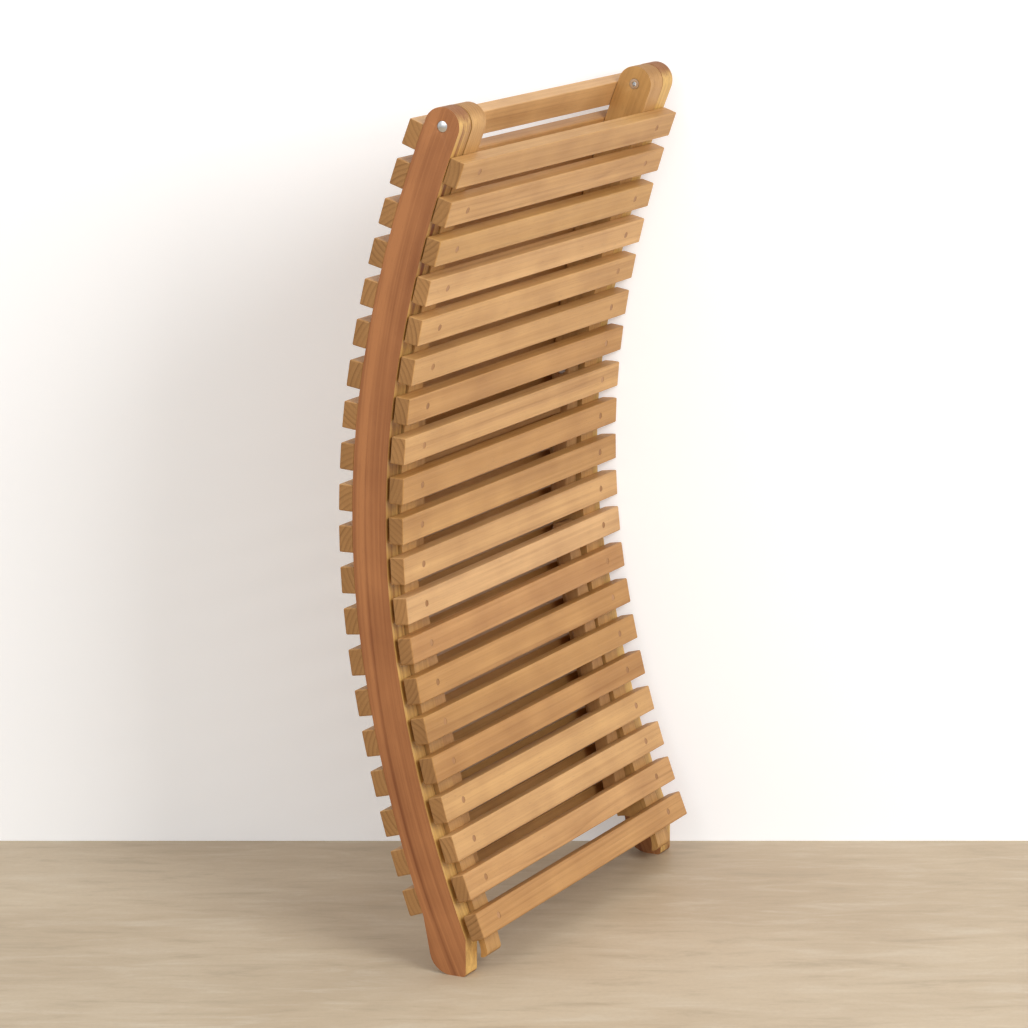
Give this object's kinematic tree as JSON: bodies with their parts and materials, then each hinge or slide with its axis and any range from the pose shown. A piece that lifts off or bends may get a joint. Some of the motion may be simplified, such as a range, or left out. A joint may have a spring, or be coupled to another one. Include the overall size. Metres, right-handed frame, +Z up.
{
  "type": "folding slatted lounger",
  "caption": "Curved wooden slatted lounger that folds flat: two nested slatted frames hinged at one end, with swing-out leg frames, standing upright when folded.",
  "frame": {"origin": "middle of the bounding box at floor level, with the lounger folded and standing on its two feet", "axes": "+X along the slats, +Y from the hollow side of the curve to its round side, +Z up from the feet to the hinge"},
  "size_m": [0.6, 0.1976, 1.06],
  "materials": {
    "slat_wood": "satin",
    "outer_rail_wood": "satin",
    "inner_rail_wood": "satin",
    "leg_wood": "satin",
    "plug_wood": "satin",
    "stainless_steel": "satin",
    "spacer_plastic": "matte"
  },
  "bodies": {
    "outer_frame": {"outer_rail_left": "outer_rail_wood", "outer_rail_right": "outer_rail_wood", "back_slat_01": "slat_wood", "back_slat_02": "slat_wood", "back_slat_03": "slat_wood", "back_slat_04": "slat_wood", "back_slat_05": "slat_wood", "back_slat_06": "slat_wood", "back_slat_07": "slat_wood", "back_slat_08": "slat_wood", "back_slat_09": "slat_wood", "back_slat_10": "slat_wood", "back_slat_11": "slat_wood", "back_slat_12": "slat_wood", "back_slat_13": "slat_wood", "back_slat_14": "slat_wood", "back_slat_15": "slat_wood", "back_slat_16": "slat_wood", "back_slat_17": "slat_wood", "back_slat_18": "slat_wood", "back_slat_19": "slat_wood", "back_slat_20": "slat_wood", "back_plugs": "plug_wood", "hinge_bolts": "stainless_steel", "hinge_barrels": "stainless_steel"},
    "inner_frame": {"inner_rail_left": "inner_rail_wood", "inner_rail_right": "inner_rail_wood", "front_slat_01": "slat_wood", "front_slat_02": "slat_wood", "front_slat_03": "slat_wood", "front_slat_04": "slat_wood", "front_slat_05": "slat_wood", "front_slat_06": "slat_wood", "front_slat_07": "slat_wood", "front_slat_08": "slat_wood", "front_slat_09": "slat_wood", "front_slat_10": "slat_wood", "front_slat_11": "slat_wood", "front_slat_12": "slat_wood", "front_slat_13": "slat_wood", "front_slat_14": "slat_wood", "front_slat_15": "slat_wood", "front_slat_16": "slat_wood", "front_slat_17": "slat_wood", "front_slat_18": "slat_wood", "front_slat_19": "slat_wood", "front_slat_20": "slat_wood", "front_plugs": "plug_wood", "leg_pivot_bolts": "stainless_steel", "leg_spacers": "spacer_plastic"},
    "short_leg_frame": {"short_leg_left": "leg_wood", "short_leg_right": "leg_wood", "short_leg_crossbar": "leg_wood"},
    "long_leg_frame": {"long_leg_left": "leg_wood", "long_leg_right": "leg_wood", "long_leg_crossbar": "leg_wood"}
  },
  "joints": [
    {"name": "fold", "type": "hinge", "parent": "outer_frame", "child": "inner_frame", "pos_m": [0, -0.04431, 1.037], "axis": [-1, 0, 0], "range_deg": [0, 180]},
    {"name": "short_leg_swing", "type": "hinge", "parent": "inner_frame", "child": "short_leg_frame", "pos_m": [0, 0.04224, 0.6645], "axis": [1, 0, 0], "range_deg": [0, 99]},
    {"name": "long_leg_swing", "type": "hinge", "parent": "inner_frame", "child": "long_leg_frame", "pos_m": [0, -0.03583, 0.08466], "axis": [-1, 0, 0], "range_deg": [0, 67]}
  ],
  "couplings": [
    {"joint": "short_leg_swing", "follows": "fold", "ratio": 0.55},
    {"joint": "long_leg_swing", "follows": "fold", "ratio": 0.3722}
  ]
}
